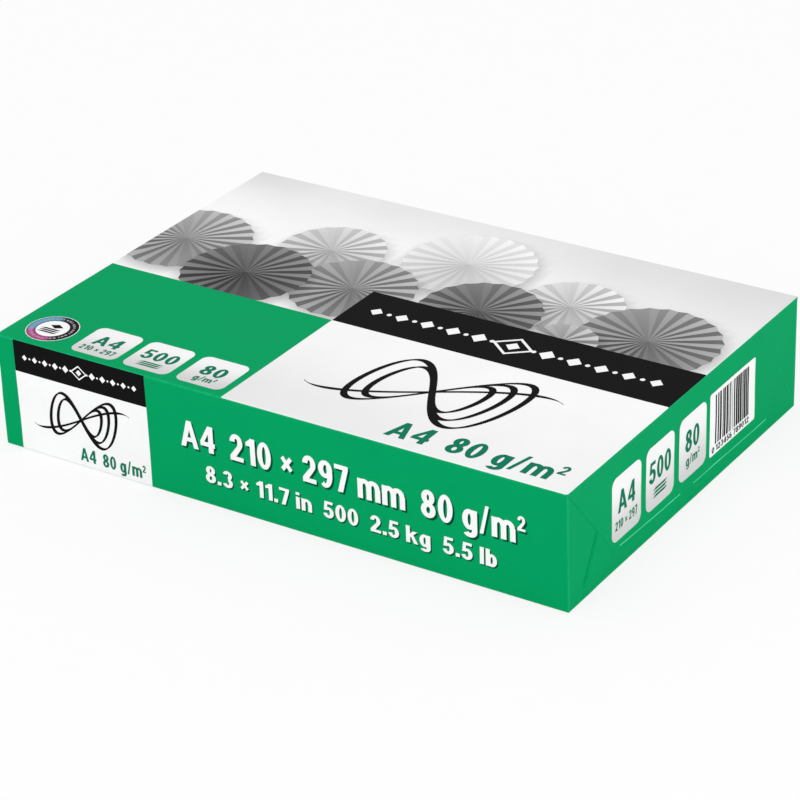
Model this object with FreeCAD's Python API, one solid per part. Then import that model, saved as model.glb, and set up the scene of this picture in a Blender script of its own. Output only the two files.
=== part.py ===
import FreeCAD, Part
import os

# A sealed ream of A4 copier paper, lying flat. Millimetres.
# X runs along the long side, so the folded ends are at -X and +X. Y runs from the front long side to the back
# one, and Z points up. The origin is on the surface that the ream lies on, under the middle of the ream.
# Nobody can see into the sealed pack, so its paper and its wrapper are one solid: a stack rounded by its
# wrapper, on which the folded flaps and the glued seam stand as the layers of paper that they are.

# The paper
sheet_length = 297.0
sheet_width = 210.0
sheet_count = 500
sheet_thickness = 0.110

# The wrapper, and the air that it holds on each side of the paper
wrapper_thickness = 0.12
side_air = 0.40
face_air = 0.75
end_air = 0.15
long_edge_radius = 1.20

# The folded ends. The side walls are tucked in first, then the bottom flap goes up and the top flap down over
# it. A flap stands off the layer under it by more than the paper's thickness, because its folded sides spring
# apart. Each slanting side runs inwards by its slope for every millimetre that the flap reaches.
end_fold_radius = 1.00
flap_lift = 0.45
flap_side_bend = 0.30
slope_front = 0.84
slope_back = 0.60

# The top flap stops above the underside. Its cut edge isn't parallel to it, and bows downwards a little.
gap_below_flap_front = 9.90
gap_below_flap_back = 6.60
cut_edge_bow = 0.50

# The glued seam, where one long edge of the wrapper laps over the other. It runs along the middle of the
# underside, where the weight of the paper presses it flat and leaves only a shallow step at its free edge,
# and up the bottom flaps, where it stands out. On its closed side it fades into the single layer by a ramp.
seam_width = 18.0
seam_lift = 0.22
seam_ramp = 4.0

# What follows from these
stack_height = sheet_count * sheet_thickness
pack_width = sheet_width + 2 * (side_air + wrapper_thickness)
pack_height = stack_height + 2 * (face_air + wrapper_thickness)
half_width = pack_width / 2
top_reach_front = pack_height - gap_below_flap_front
top_reach_back = pack_height - gap_below_flap_back
bottom_reach = (top_reach_front + top_reach_back) / 2

# A tucked side wall is folded double, so each end has two layers of wrapper under its flaps
length_over_tucks = sheet_length + 2 * (end_air + 2 * wrapper_thickness)
length_over_bottom_flaps = length_over_tucks + 2 * flap_lift
length_over_top_flaps = length_over_bottom_flaps + 2 * flap_lift
length_over_seam = length_over_bottom_flaps + 2 * seam_lift


def point(x, y, z):
    return FreeCAD.Vector(x, y, z)


def line(start, end):
    return Part.LineSegment(point(*start), point(*end)).toShape()


def block(length, width, height):
    """A block that stands on the ream's own base, about the middle of it."""
    return Part.makeBox(length, width, height, point(-length / 2, -width / 2, 0))


def prism(corners, along):
    return Part.Face(Part.makePolygon([point(*corner) for corner in corners + corners[:1]])).extrude(along)


def long_edges(solid):
    """The straight edges along X."""
    return [edge for edge in solid.Edges if edge.BoundBox.XLength > edge.BoundBox.DiagonalLength * 0.99]


def end_edges(solid, length):
    """The edges that lie in the planes of the two ends."""
    flat = [edge for edge in solid.Edges if edge.BoundBox.XLength < 0.001]
    return [edge for edge in flat if abs(abs(edge.BoundBox.Center.x) - length / 2) < 0.001]


def wrapped_stack(length):
    """The stack in its wrapper, as long as the layer asked for, with its long edges and its ends rounded."""
    stack = block(length, pack_width, pack_height)
    stack = stack.makeFillet(long_edge_radius, long_edges(stack))
    return stack.makeFillet(end_fold_radius, end_edges(stack, length))


def flap_outline(x, fold, reach_front, reach_back):
    """A flap's outline on one end, from its fold line at the height given. A downward reach is negative."""
    direction = 1 if reach_front > 0 else -1
    cut_front = (x, slope_front * abs(reach_front) - half_width, fold + reach_front)
    cut_back = (x, half_width - slope_back * abs(reach_back), fold + reach_back)
    middle_height = (cut_front[2] + cut_back[2]) / 2 + direction * cut_edge_bow
    cut_middle = (x, (cut_front[1] + cut_back[1]) / 2, middle_height)
    cut_edge = Part.Arc(point(*cut_front), point(*cut_middle), point(*cut_back)).toShape()
    front_side = line((x, -half_width, fold), cut_front)
    back_side = line(cut_back, (x, half_width, fold))
    return Part.Wire([front_side, cut_edge, back_side, line((x, half_width, fold), (x, -half_width, fold))])


def slanting_edges(solid, length):
    """The folded sides of the flaps, which slant across the ends."""
    slanting = [edge for edge in end_edges(solid, length) if isinstance(edge.Curve, Part.Line)]
    return [edge for edge in slanting if edge.BoundBox.YLength > 1 and edge.BoundBox.ZLength > 1]


def flaps(length, fold, reach_front, reach_back):
    """Both ends' flaps of one layer. They turn round the stack's own edge, and their sides are bent over."""
    outline = flap_outline(-length / 2, fold, reach_front, reach_back)
    layer = wrapped_stack(length).common(Part.Face(outline).extrude(point(length, 0, 0)))
    return layer.makeFillet(flap_side_bend, slanting_edges(layer, length))


def seam_on_bottom_flaps():
    """The lap where it comes round from the underside and stands out on both bottom flaps."""
    closed, free = -seam_width / 2, seam_width / 2
    ends = length_over_seam / 2
    strip = block(length_over_seam, 2 * (seam_width + seam_ramp), bottom_reach)
    lower_ends = [edge for edge in end_edges(strip, length_over_seam) if edge.BoundBox.ZMax < 0.001]
    strip = strip.makeFillet(end_fold_radius + seam_lift, lower_ends)
    plan = [
        (ends - seam_lift, closed - seam_ramp, 0),
        (ends, closed, 0),
        (ends, free, 0),
        (-ends, free, 0),
        (-ends, closed, 0),
        (seam_lift - ends, closed - seam_ramp, 0),
    ]
    return strip.common(prism(plan, point(0, 0, bottom_reach)))


def step_along_underside():
    """The step at the seam's free edge, up to the single layer beside it, which slopes down again."""
    free = seam_width / 2
    ends = length_over_seam / 2
    section = [(-ends, free, 0), (-ends, free, seam_lift), (-ends, free + seam_ramp, 0)]
    return prism(section, point(2 * ends, 0, 0))


def wrapped_ream():
    ream = wrapped_stack(length_over_tucks)
    ream = ream.fuse(flaps(length_over_bottom_flaps, 0, bottom_reach, bottom_reach))
    ream = ream.fuse(seam_on_bottom_flaps())
    ream = ream.cut(step_along_underside())
    ream = ream.fuse(flaps(length_over_top_flaps, pack_height, -top_reach_front, -top_reach_back))
    return ream.removeSplitter().Solids[0]


os.makedirs("parts", exist_ok=True)
ream = wrapped_ream()
ream.exportStep("parts/wrapped_ream.step")
box = ream.BoundBox
size = [round(side, 2) for side in (box.XLength, box.YLength, box.ZLength)]
print("wrapped_ream", size, "valid", ream.isValid())
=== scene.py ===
import math
import random
import bmesh
import bpy
from bpy.props import FloatProperty, FloatVectorProperty, PointerProperty
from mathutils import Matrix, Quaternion, Vector, noise
from mathutils.geometry import delaunay_2d_cdt


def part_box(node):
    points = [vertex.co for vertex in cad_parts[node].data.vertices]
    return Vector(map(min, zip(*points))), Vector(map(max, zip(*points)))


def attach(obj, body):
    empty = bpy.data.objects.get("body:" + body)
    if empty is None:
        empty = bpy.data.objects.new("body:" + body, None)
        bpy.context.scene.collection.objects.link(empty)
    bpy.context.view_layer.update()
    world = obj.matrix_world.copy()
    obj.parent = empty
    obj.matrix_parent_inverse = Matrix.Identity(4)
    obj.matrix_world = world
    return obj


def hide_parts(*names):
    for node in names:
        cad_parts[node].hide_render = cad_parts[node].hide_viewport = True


bl_info = {
    "name": "Wrapped ream of paper",
    "version": (1, 0, 0),
    "blender": (4, 5, 0),
    "location": "View3D > Sidebar > Ream",
    "description": "Builds a sealed, printed ream of A4 paper round its measured frame",
    "category": "Add Mesh",
}

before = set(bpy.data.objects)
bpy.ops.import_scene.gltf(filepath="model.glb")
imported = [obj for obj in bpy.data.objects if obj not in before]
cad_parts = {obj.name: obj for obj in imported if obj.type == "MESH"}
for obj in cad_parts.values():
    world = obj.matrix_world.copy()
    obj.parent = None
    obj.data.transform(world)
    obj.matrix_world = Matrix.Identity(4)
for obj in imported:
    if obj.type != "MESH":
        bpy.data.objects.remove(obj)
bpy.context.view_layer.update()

# The ream's size comes from the frame. Places and sizes on its print are in millimetres.
MM = 0.001
LOW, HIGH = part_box("wrapped_ream")
MIDDLE = (LOW + HIGH) / 2
HALF = (HIGH - LOW) / 2
LENGTH, WIDTH, HEIGHT = (size / MM for size in HIGH - LOW)

# Which way a surface faces decides the side that its print belongs to: past 45 degrees is the next side
TURNED = math.cos(math.radians(45))


class Side:
    """One side of the ream, as a sheet of print: u runs right and v runs down from its top left corner."""

    def __init__(self, corner, right, down):
        self.corner = Vector(corner)
        self.right = Vector(right)
        self.down = Vector(down)
        self.out = self.down.cross(self.right)

    def taut(self, u, v):
        """The point of the CAD model at this place of the print, in metres."""
        return self.corner + MM * (u * self.right + v * self.down)

    def place(self, u, v, lift=0.0):
        """The point of the slack wrapper at this place of the print, or so many millimetres above it."""
        return pulled_in(self.taut(u, v)) + MM * lift * self.out

    def print_place(self, point):
        """The (u, v) of a point of the CAD model."""
        across = (point - self.corner) / MM
        return across.dot(self.right), across.dot(self.down)


TOP = Side((LOW.x, HIGH.y, HIGH.z), (1, 0, 0), (0, -1, 0))
FRONT = Side((LOW.x, LOW.y, HIGH.z), (1, 0, 0), (0, 0, -1))
RIGHT_END = Side((HIGH.x, LOW.y, HIGH.z), (0, 1, 0), (0, 0, -1))
LEFT_END = Side((LOW.x, HIGH.y, HIGH.z), (0, -1, 0), (0, 0, -1))

# The fields of print: the picture and the black band over the white panel on the top, and the front's label
PANEL_LEFT = 126.3
BAND_TOP = 90.2
BAND_BOTTOM = 124.6
LABEL_LEFT = 9.8
LABEL_RIGHT = 84.3
LABEL_BAND_BOTTOM = 16.1

# The top flap's slanting sides and its low edge, as they are folded in the CAD model
FLAP_GAP_FRONT = 9.9
FLAP_GAP_BACK = 6.6
FLAP_SLOPE_FRONT = 0.84
FLAP_SLOPE_BACK = 0.60
FLAP_EDGE_BOW = 0.5

# How far each layer of print stands above the wrapper, so that the upper ones cover the lower ones
PLATE_LIFT = 0.03
UNDER_LIFT = 0.05
INK_LIFT = 0.07


class WrapperSettings(bpy.types.PropertyGroup):
    green: FloatVectorProperty(
        name="Green", description="Colour of the printed wrapper",
        subtype="COLOR", size=3, min=0, max=1, default=(0.0010, 0.347, 0.120))
    white: FloatVectorProperty(
        name="White", description="Colour of the unprinted coated paper",
        subtype="COLOR", size=3, min=0, max=1, default=(0.95, 0.95, 0.955))
    black: FloatVectorProperty(
        name="Black", description="Colour of the black print",
        subtype="COLOR", size=3, min=0, max=1, default=(0.008, 0.0075, 0.008))
    # The folds' light green is partly wear and partly a painted highlight along the folds, strongest on the
    # upright ones
    rubbed_and_highlight: FloatVectorProperty(
        name="Rubbed folds", description="Colour of the print where a fold is rubbed",
        subtype="COLOR", size=3, min=0, max=1, default=(0.035, 0.60, 0.29))
    # The cut edge's pale green is partly the paper's own edge and partly a painted highlight along it
    cut: FloatVectorProperty(
        name="Cut edge", description="Colour of the cut edge of the flaps",
        subtype="COLOR", size=3, min=0, max=1, default=(0.11, 0.74, 0.42))
    top_slack: FloatProperty(
        name="Slack on the top", description="How far the top sinks between its edges",
        subtype="DISTANCE", unit="LENGTH", default=0.22 * MM)
    side_slack: FloatProperty(
        name="Slack on the long sides", description="How far the long sides sink",
        subtype="DISTANCE", unit="LENGTH", default=0.30 * MM)
    end_slack: FloatProperty(
        name="Slack on the ends", description="How uneven the folded ends are",
        subtype="DISTANCE", unit="LENGTH", default=0.30 * MM)
    grid: FloatProperty(
        name="Grid", description="Spacing of the cuts that let the wrapper bend",
        subtype="DISTANCE", unit="LENGTH", default=5.0 * MM)
    end_grid: FloatProperty(
        name="Grid on the ends", description="Spacing of the cuts on the folded ends",
        subtype="DISTANCE", unit="LENGTH", default=2.0 * MM)


class PrintSettings(bpy.types.PropertyGroup):
    numeral_green: FloatVectorProperty(
        name="Numeral green", description="Colour of the green lettering",
        subtype="COLOR", size=3, min=0, max=1, default=(0.006, 0.19, 0.105))
    shadow_green: FloatVectorProperty(
        name="Shadow green", description="Colour of the shadow under the white lettering",
        subtype="COLOR", size=3, min=0, max=1, default=(0.0, 0.075, 0.03))
    rim_grey: FloatVectorProperty(
        name="Tick grey", description="Colour of the ticks on the round mark",
        subtype="COLOR", size=3, min=0, max=1, default=(0.36, 0.33, 0.36))
    badge_light: FloatProperty(
        name="Badge, top", description="Brightness of a badge at its top", min=0, max=1, default=0.98)
    badge_dark: FloatProperty(
        name="Badge, bottom", description="Brightness of a badge at its bottom", min=0, max=1, default=0.84)
    lettering_grid: FloatProperty(
        name="Grid", description="Spacing of the cuts that let the print follow the paper",
        subtype="DISTANCE", unit="LENGTH", default=2.5 * MM)
    pleat: FloatProperty(
        name="Pleat", description="Width of a fan's pleats at its rim",
        subtype="DISTANCE", unit="LENGTH", default=4.6 * MM)


class StageSettings(bpy.types.PropertyGroup):
    sky: FloatProperty(
        name="Studio light", description="Strength of the light from all round", min=0, default=0.89)
    key: FloatProperty(
        name="Main lamp", description="Power of the soft lamp in front",
        subtype="POWER", unit="POWER", default=3.5)
    fill: FloatProperty(
        name="Side lamp", description="Power of the soft lamp at the right",
        subtype="POWER", unit="POWER", default=4.3)
    lens: FloatProperty(
        name="Lens", description="Focal length on a 36 mm sensor",
        subtype="DISTANCE_CAMERA", unit="CAMERA", default=133.46)
    azimuth: FloatProperty(
        name="Azimuth", description="How far the camera stands round to the right",
        subtype="ANGLE", unit="ROTATION", default=math.radians(33.88))
    elevation: FloatProperty(
        name="Elevation", description="How far the camera looks down",
        subtype="ANGLE", unit="ROTATION", default=math.radians(27.76))
    roll: FloatProperty(
        name="Roll", description="How far the camera leans",
        subtype="ANGLE", unit="ROTATION", default=math.radians(-2.16))
    distance: FloatProperty(
        name="Distance", description="From the camera to the point that it looks at",
        subtype="DISTANCE", unit="LENGTH", default=1.3388)
    aim: FloatVectorProperty(
        name="Aim", description="The point that the camera looks at",
        subtype="XYZ", unit="LENGTH", size=3, default=(0.01595, -0.02483, 0.02837))


def wrapper_settings():
    return bpy.context.scene.ream_wrapper


def print_settings():
    return bpy.context.scene.ream_print


def stage_settings():
    return bpy.context.scene.ream_stage


# How the slack wrapper lies

# Creases on the right end, each (start u, start v, finish u, finish v, depth, half of its width), and how far
# from its two tips a crease is at its full depth
CREASES = (
    (25.9, 28.7, 12.2, 53.1, 1.9, 1.5),
    (34.0, 46.5, 41.5, 55.0, 0.14, 0.9),
)
CREASE_FADE = 5

# Only what lies this near to the end's outermost layer is creased
END_SKIN = 2

# The folded ends: how deep their lowest layer lies, what share of that is left once the layers are pressed
# together, and how far past it the wrapper is back in its place
TUCK_DEPTH = 0.92
PRESSED = 0.20
PRESSED_REACH = 2.0

# The layers lie closest at the near bottom corners: how far from the front and the top that changes, how far
# the change takes, and by what share they are closer
CREASED_REACH = 27.0
CREASED_FADE_ACROSS = 8
CREASED_FADE_DOWN = 4
CREASED_CLOSER = 0.85

# The hills and hollows of the slack paper: how many times longer the large ones are along the ream than
# across it, how much of the slack is in the fine ones, and how much of the ends' slack is left at their edges
WAVES_ALONG = 2.4
FINE_WAVES_END = 0.2
FINE_WAVES_TOP = 0.3
SLACK_AT_END_EDGE = 0.25

# How far from its middle line a fold is rubbed and carries a painted highlight
WEAR_AND_HIGHLIGHT_UPRIGHT = 1.5
WEAR_AND_HIGHLIGHT_LEVEL = 1.25


def smooth(value):
    value = min(max(value, 0.0), 1.0)
    return value * value * (3 - 2 * value)


def unevenness(point, wavelength, seed):
    """Smooth hills and hollows, from 0 to 1."""
    return min(max(0.5 + noise.noise(point / (wavelength * MM) + Vector((seed, 0, 0))), 0.0), 1.0)


def away_from_edge(distance, reach):
    """0 at an edge of the ream and 1 from the reach inwards."""
    return smooth(distance / (reach * MM))


def crease_depth(point):
    """How deep a crease of the right end is at this point, in metres."""
    if point.x < HIGH.x - END_SKIN * MM:
        return 0.0
    u, v = RIGHT_END.print_place(point)
    deepest = 0.0
    for start_u, start_v, finish_u, finish_v, depth, half in CREASES:
        way_u, way_v = finish_u - start_u, finish_v - start_v
        length = math.hypot(way_u, way_v)
        along = ((u - start_u) * way_u + (v - start_v) * way_v) / length
        off = abs((u - start_u) * way_v - (v - start_v) * way_u) / length
        fade = smooth(along / CREASE_FADE) * smooth((length - along) / CREASE_FADE)
        deepest = max(deepest, depth * fade * max(0.0, 1 - off / half))
    return deepest * MM


def pressed_together(point):
    """How far a point of the folded ends moves outwards, so that the layers of paper lie on each other."""
    depth = (HALF.x - abs(point.x)) / MM
    if depth > TUCK_DEPTH + PRESSED_REACH:
        return 0.0
    from_front = (point.y - LOW.y) / MM
    from_top = (HIGH.z - point.z) / MM
    creased = smooth((CREASED_REACH - from_front) / CREASED_FADE_ACROSS)
    creased *= smooth((from_top - CREASED_REACH) / CREASED_FADE_DOWN)
    left = PRESSED * (1 - CREASED_CLOSER * creased)
    return depth * (1 - left) * (1 - smooth((depth - TUCK_DEPTH) / PRESSED_REACH)) * MM


def pulled_in(point):
    """Where a point of the taut wrapper really lies. It stays in the CAD model's box, and on the ground."""
    settings = wrapper_settings()
    edge_x = HALF.x - abs(point.x)
    edge_y = HALF.y - abs(point.y)
    edge_z = min(point.z, HIGH.z - point.z)
    shortened = Vector((point.x / WAVES_ALONG, point.y, point.z))

    large = unevenness(point, wavelength=26, seed=3)
    fine = unevenness(point, wavelength=9, seed=11)
    inside = away_from_edge(edge_y, reach=8) * away_from_edge(edge_z, reach=5)
    sink_x = settings.end_slack * ((1 - FINE_WAVES_END) * large + FINE_WAVES_END * fine)
    sink_x *= SLACK_AT_END_EDGE + (1 - SLACK_AT_END_EDGE) * inside
    sink_x += crease_depth(point) - pressed_together(point)

    sink_y = settings.side_slack * unevenness(shortened, wavelength=34, seed=7)
    sink_y *= away_from_edge(edge_z, reach=16) * away_from_edge(edge_x, reach=12)

    large = unevenness(shortened, wavelength=60, seed=19)
    fine = unevenness(point, wavelength=30, seed=23)
    sink_z = settings.top_slack * ((1 - FINE_WAVES_TOP) * large + FINE_WAVES_TOP * fine)
    sink_z *= away_from_edge(edge_y, reach=14) * away_from_edge(edge_x, reach=9)

    return Vector((
        point.x - sink_x * (point.x - MIDDLE.x) / HALF.x,
        point.y - sink_y * (point.y - MIDDLE.y) / HALF.y,
        point.z - sink_z * (point.z - LOW.z) / (HIGH.z - LOW.z),
    ))


def fold_wear_and_highlight(point):
    """The mask of wear and painted highlight: 1 on an upright fold of the taut wrapper, half as much on a
    level one, and 0 on the flat.
    """
    to_end = HALF.x - abs(point.x)
    to_side = HALF.y - abs(point.y)
    to_level = min(point.z, HIGH.z - point.z)
    upright = 1.0 - smooth(max(to_end, to_side) / (WEAR_AND_HIGHLIGHT_UPRIGHT * MM))
    level = 1.0 - smooth(max(min(to_end, to_side), to_level) / (WEAR_AND_HIGHLIGHT_LEVEL * MM))
    return max(upright, level / 2)


# Meshes

# Corners of the CAD model that are closer than the first, in metres, are one. Its faces that turn by less
# than the second are one flat face.
SAME_POINT = 1e-6
FLAT_TURN = math.radians(0.05)

# A cut passes through a corner that is this near, in the units of the mesh
ON_THE_CUT = 1e-7

# Corners of print that are closer than the first are one, and edges shorter than the second are closed up
SAME_PLACE = 1e-5
SLIVER = 0.003


def cut_through(mesh, faces, point, normal):
    """Cuts the faces along a plane, and returns them with the ones that the cut made."""
    sides = {}
    crossed = []
    for face in faces:
        for vert in face.verts:
            if vert not in sides:
                sides[vert] = (vert.co - point).dot(normal)
        heights = [sides[vert] for vert in face.verts]
        if min(heights) < 0 < max(heights):
            crossed.append(face)
    if not crossed:
        return faces
    parts = {part for face in crossed for part in (face, *face.edges, *face.verts)}
    cut = bmesh.ops.bisect_plane(mesh, geom=list(parts), dist=ON_THE_CUT, plane_co=point, plane_no=normal)
    made = [part for part in cut["geom"] if isinstance(part, bmesh.types.BMFace)]
    return list({face for face in faces if face.is_valid} | set(made))


def cut_across(mesh, faces, axis, places):
    """Cuts the faces square to one axis, at each of these places."""
    normal = Vector([1.0 if index == axis else 0.0 for index in range(3)])
    for place in places:
        faces = cut_through(mesh, faces, normal * place, normal)
    return faces


def steps(low, high, spacing):
    """Even places between two ends, about so far apart."""
    count = max(1, round((high - low) / spacing))
    return [low + (high - low) * index / count for index in range(1, count)]


def face_up(face):
    face.normal_update()
    if face.normal.z < 0:
        face.normal_flip()


def new_piece(name, mesh, look):
    """Makes a mesh a piece of the ream, with the finish that look names."""
    data = bpy.data.meshes.new(name)
    mesh.to_mesh(data)
    mesh.free()
    data.shade_smooth()
    piece = bpy.data.objects.new(name, data)
    bpy.context.scene.collection.objects.link(piece)
    data.materials.append(finish(look))
    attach(piece, "root")
    return piece


def signed_area(outline):
    return sum(a[0] * b[1] - b[0] * a[1] for a, b in zip(outline, outline[1:] + outline[:1])) / 2


def flat_mesh(outlines):
    """A flat mesh of outlines in print places (u, v), joined so that each place is covered only once."""
    corners = []
    faces = []
    for outline in outlines:
        turned = [(u, -v) for u, v in outline]
        if signed_area(turned) < 0:
            turned.reverse()
        faces.append(list(range(len(corners), len(corners) + len(turned))))
        corners += [Vector(corner) for corner in turned]
    within_edges = 1
    verts, _, triangles, _, _, covered_by = delaunay_2d_cdt(corners, [], faces, within_edges, SAME_PLACE)
    flat = bmesh.new()
    made = [flat.verts.new((vert.x, vert.y, 0)) for vert in verts]
    for triangle, covers in zip(triangles, covered_by):
        if covers:
            face_up(flat.faces.new([made[index] for index in triangle]))
    loose = [vert for vert in flat.verts if not vert.link_faces]
    bmesh.ops.delete(flat, geom=loose, context="VERTS")
    return flat


def lay_on(side, outlines, name, look, lift=INK_LIFT, shade=None):
    """Lays outlines on a side of the ream as a piece of print that follows the paper.
    shade, if given, is the colour that is printed at a place (u, v)."""
    flat = flat_mesh(outlines)
    spacing = print_settings().lettering_grid / MM
    for axis in (0, 1):
        places = [vert.co[axis] for vert in flat.verts]
        cut_across(flat, flat.faces[:], axis, steps(min(places), max(places), spacing))
    bmesh.ops.dissolve_degenerate(flat, edges=flat.edges[:], dist=SLIVER)
    if shade:
        ink = flat.loops.layers.float_color.new("ink")
        for face in flat.faces:
            for loop in face.loops:
                loop[ink] = (*shade(loop.vert.co.x, -loop.vert.co.y), 1.0)
    for vert in flat.verts:
        vert.co = side.place(vert.co.x, -vert.co.y, lift)
    return new_piece(name, flat, look)


# Outlines, as lists of places (u, v)

# How many edges round off a corner, and how many degrees of an arc one outline of a stroke takes
CORNER_EDGES = 8
STROKE_TURN = 15

# A whole ring is made of strokes of so many degrees
RING_TURN = 60


def arc_places(u, v, reach_u, reach_v, start, finish, count):
    """Places along an arc, with its angles in degrees and counted on the print's own way down."""
    turns = [math.radians(start + (finish - start) * index / count) for index in range(count + 1)]
    return [(u + reach_u * math.cos(turn), v + reach_v * math.sin(turn)) for turn in turns]


def rounded_rectangle(left, top, width, height, radius):
    corners = (
        (left + radius, top + radius, 180),
        (left + width - radius, top + radius, 270),
        (left + width - radius, top + height - radius, 0),
        (left + radius, top + height - radius, 90),
    )
    arcs = [arc_places(u, v, radius, radius, start, start + 90, CORNER_EDGES) for u, v, start in corners]
    return [place for arc in arcs for place in arc]


def circle(u, v, radius, count=64):
    return arc_places(u, v, radius, radius, 0, 360, count)[:-1]


def bow(u, v, reach_u, reach_v, start, finish, thick_u, thick_v):
    """A bent stroke between two arcs, as a row of small four-sided outlines."""
    count = max(4, round(abs(finish - start) / STROKE_TURN))
    outer = arc_places(u, v, reach_u, reach_v, start, finish, count)
    inner = arc_places(u, v, reach_u - thick_u, reach_v - thick_v, start, finish, count)
    return [[outer[k], outer[k + 1], inner[k + 1], inner[k]] for k in range(count)]


def ring_part(u, v, outer, inner, start, finish):
    return bow(u, v, outer, outer, start, finish, outer - inner, outer - inner)


def ring(u, v, outer, inner):
    starts = range(0, 360, RING_TURN)
    return [quad for start in starts for quad in ring_part(u, v, outer, inner, start, start + RING_TURN)]


def lozenge(u, v, half_width, half_height):
    return [(u - half_width, v), (u, v - half_height), (u + half_width, v), (u, v + half_height)]


# Lettering: plain bold signs, each with its width and strokes, for a capital that is 1 high.
# Here heights are counted upwards from the line that the lettering stands on.

# The thickness of an upright and of a level stroke, the width of a round sign, the height of small letters
STEM = 0.205
BEAM = 0.165
ROUND = 0.56
SMALL = 0.725


def box(left, low, right, high):
    return [(left, low), (right, low), (right, high), (left, high)]


def stroke(u, v, reach_u, reach_v, start=0, finish=360):
    return bow(u, v, reach_u, reach_v, start, finish, STEM, BEAM)


TWO = [
    *stroke(0.28, 0.70, 0.265, 0.31, 178, -38),
    [(0.49, 0.51), (0.34, 0.60), (0.01, 0.17), (0.01, 0.0), (0.17, 0.0), (0.25, 0.16)],
    box(0.01, 0.0, 0.55, BEAM),
]

SIGNS = {
    "0": (ROUND, stroke(0.28, 0.5, 0.28, 0.51)),
    "1": (0.40, [
        box(0.20, 0.0, 0.20 + STEM, 1.0),
        [(0.03, 0.70), (0.03, 0.83), (0.25, 1.0), (0.21, 0.70)],
    ]),
    "2": (ROUND, TWO),
    "3": (ROUND, [
        *stroke(0.27, 0.735, 0.25, 0.275, 165, -80),
        *stroke(0.275, 0.28, 0.275, 0.29, 80, -165),
    ]),
    "4": (0.60, [
        box(0.335, 0.0, 0.335 + STEM, 1.0),
        box(0.0, 0.22, 0.60, 0.22 + BEAM),
        [(0.0, 0.22), (0.155, 0.36), (0.50, 1.0), (0.335, 1.0), (0.0, 0.39)],
    ]),
    "5": (ROUND, [
        *stroke(0.27, 0.325, 0.285, 0.335, 140, -165),
        box(0.09, 1 - BEAM, 0.52, 1.0),
        [(0.035, 0.45), (0.20, 0.45), (0.25, 1.0), (0.09, 1.0)],
    ]),
    "6": (ROUND, [
        *stroke(0.28, 0.32, 0.28, 0.33),
        *stroke(0.295, 0.5, 0.295, 0.51, 230, 55),
    ]),
    "7": (0.54, [
        box(0.0, 1 - BEAM, 0.54, 1.0),
        [(0.34, 0.86), (0.54, 0.86), (0.31, 0.0), (0.11, 0.0)],
    ]),
    "8": (ROUND, [
        *stroke(0.28, 0.275, 0.28, 0.285),
        *stroke(0.28, 0.735, 0.25, 0.275),
    ]),
    "9": (ROUND, [
        *stroke(0.28, 0.68, 0.28, 0.33),
        *stroke(0.265, 0.5, 0.295, 0.51, 50, -125),
    ]),
    "A": (0.74, [
        [(0.0, 0.0), (0.20, 0.0), (0.46, 1.0), (0.275, 1.0)],
        [(0.54, 0.0), (0.74, 0.0), (0.465, 1.0), (0.28, 1.0)],
        box(0.15, 0.21, 0.59, 0.21 + BEAM),
    ]),
    "b": (ROUND, [
        box(0.0, 0.0, STEM, 1.0),
        *stroke(0.295, 0.365, 0.265, 0.375),
    ]),
    "g": (ROUND, [
        box(ROUND - STEM, -0.06, ROUND, SMALL),
        *stroke(0.265, 0.365, 0.265, 0.375),
        *stroke(0.285, -0.05, 0.275, 0.235, 0, -150),
    ]),
    "i": (STEM, [
        box(0.0, 0.0, STEM, SMALL),
        box(0.0, 0.84, STEM, 1.0),
    ]),
    "k": (0.60, [
        box(0.0, 0.0, STEM, 1.0),
        [(0.16, 0.27), (0.59, SMALL), (0.37, SMALL), (0.16, 0.50)],
        [(0.235, 0.42), (0.365, 0.53), (0.62, 0.0), (0.405, 0.0)],
    ]),
    "l": (STEM, [
        box(0.0, 0.0, STEM, 1.0),
    ]),
    "m": (0.87, [
        box(0.0, 0.0, STEM, SMALL),
        box(0.3425, 0.0, 0.3425 + STEM, 0.48),
        box(0.685, 0.0, 0.685 + STEM, 0.48),
        *stroke(0.265, 0.48, 0.263, 0.26, 180, 0),
        *stroke(0.607, 0.48, 0.263, 0.26, 180, 0),
    ]),
    "n": (0.54, [
        box(0.0, 0.0, STEM, SMALL),
        box(0.355, 0.0, 0.355 + STEM, 0.47),
        *stroke(0.27, 0.47, 0.27, 0.27, 180, 0),
    ]),
    "×": (ROUND, [
        [(0.05, 0.62), (0.16, 0.73), (0.51, 0.27), (0.40, 0.16)],
        [(0.05, 0.27), (0.16, 0.16), (0.51, 0.62), (0.40, 0.73)],
    ]),
    "/": (0.36, [
        [(0.0, -0.02), (0.13, -0.02), (0.36, 1.02), (0.23, 1.02)],
    ]),
    ".": (STEM, [
        box(0.0, 0.0, STEM, STEM),
    ]),
    "²": (0.30, [[(0.54 * u, 0.48 + 0.54 * v) for u, v in outline] for outline in TWO]),
}
SIGN_GAP = 0.09
SPACE = 0.27


def letters(words, left, right, baseline, height, sink=0.0):
    """Outlines of lettering that fits between two places of its side and stands on a line.
    sink moves it to the right and down, as its shadow lies."""
    placed = []
    reach = 0.0
    for sign in words:
        if sign == " ":
            reach += SPACE
            continue
        width, outlines = SIGNS[sign]
        placed += [[(reach + u, up) for u, up in outline] for outline in outlines]
        reach += width + SIGN_GAP
    across = (right - left) / (reach - SIGN_GAP)
    left += sink
    baseline += sink
    return [[(left + u * across, baseline - up * height) for u, up in outline] for outline in placed]


# Materials

# Where most of a noise pattern lies
NOISE_LOW = 0.3
NOISE_HIGH = 0.7

# The scales of what shows in coated paper: faint clouds and ripples, fine fibres, and flecks of wear and
# painted highlight on folds
CLOUDS = 22.0
RIPPLES = 70.0
FLECKS = 260.0
FIBRES = 900.0

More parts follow.
